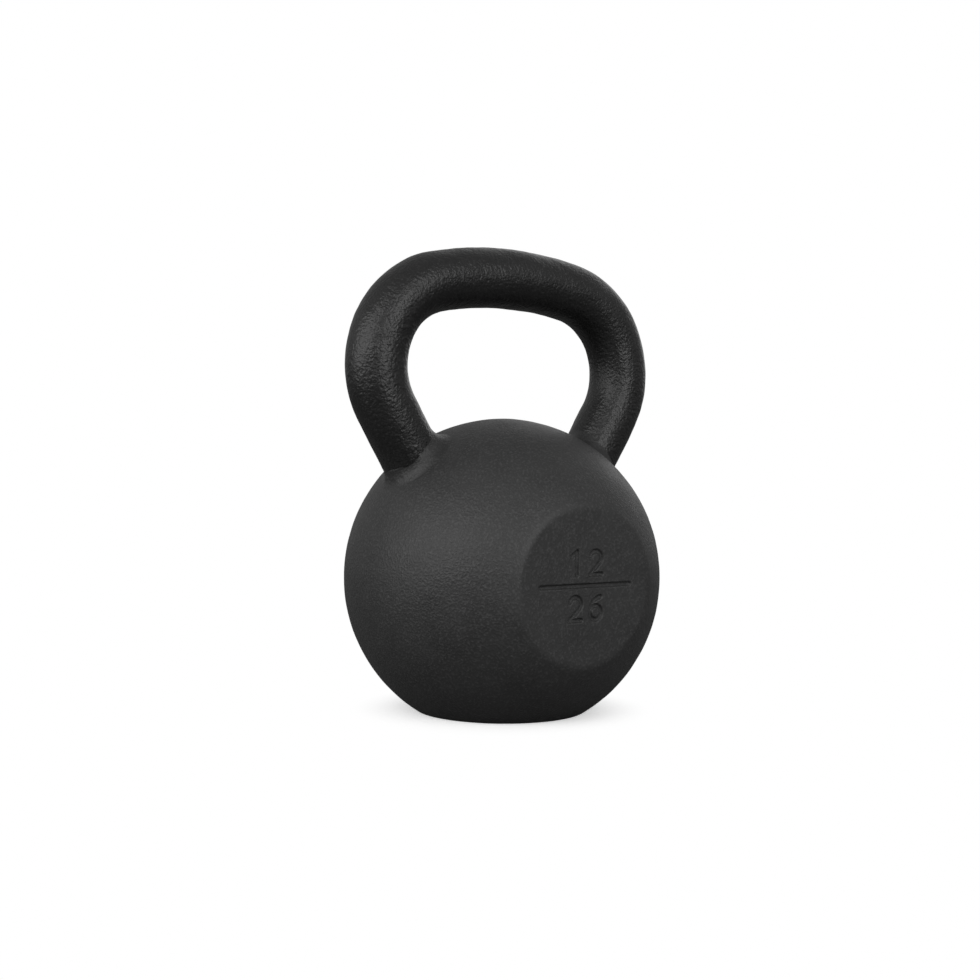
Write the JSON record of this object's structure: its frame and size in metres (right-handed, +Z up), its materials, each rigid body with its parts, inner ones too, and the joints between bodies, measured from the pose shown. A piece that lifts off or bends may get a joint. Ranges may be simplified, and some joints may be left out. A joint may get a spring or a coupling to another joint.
{
  "type": "kettlebell",
  "caption": "Kettlebell: solid iron ball with a flat foot, two round side flats and plain cut weight numbers, under a bent round-bar handle welded at its roots.",
  "frame": {"origin": "middle of the flat foot, on the floor", "axes": "+X along the grip, -Y the side flat with the mark, +Z up"},
  "size_m": [0.16, 0.1264, 0.21],
  "materials": {
    "ball_coat": "matte black powder coat over cast iron, fine grain",
    "handle_coat": "black powder coat over iron bar, pebbled, slightly glossier",
    "weld_coat": "black powder coat over a dressed fillet weld, rough"
  },
  "bodies": {
    "root": {"ball": "ball_coat", "handle": "handle_coat", "root_weld_left": "weld_coat", "root_weld_right": "weld_coat"}
  },
  "joints": []
}
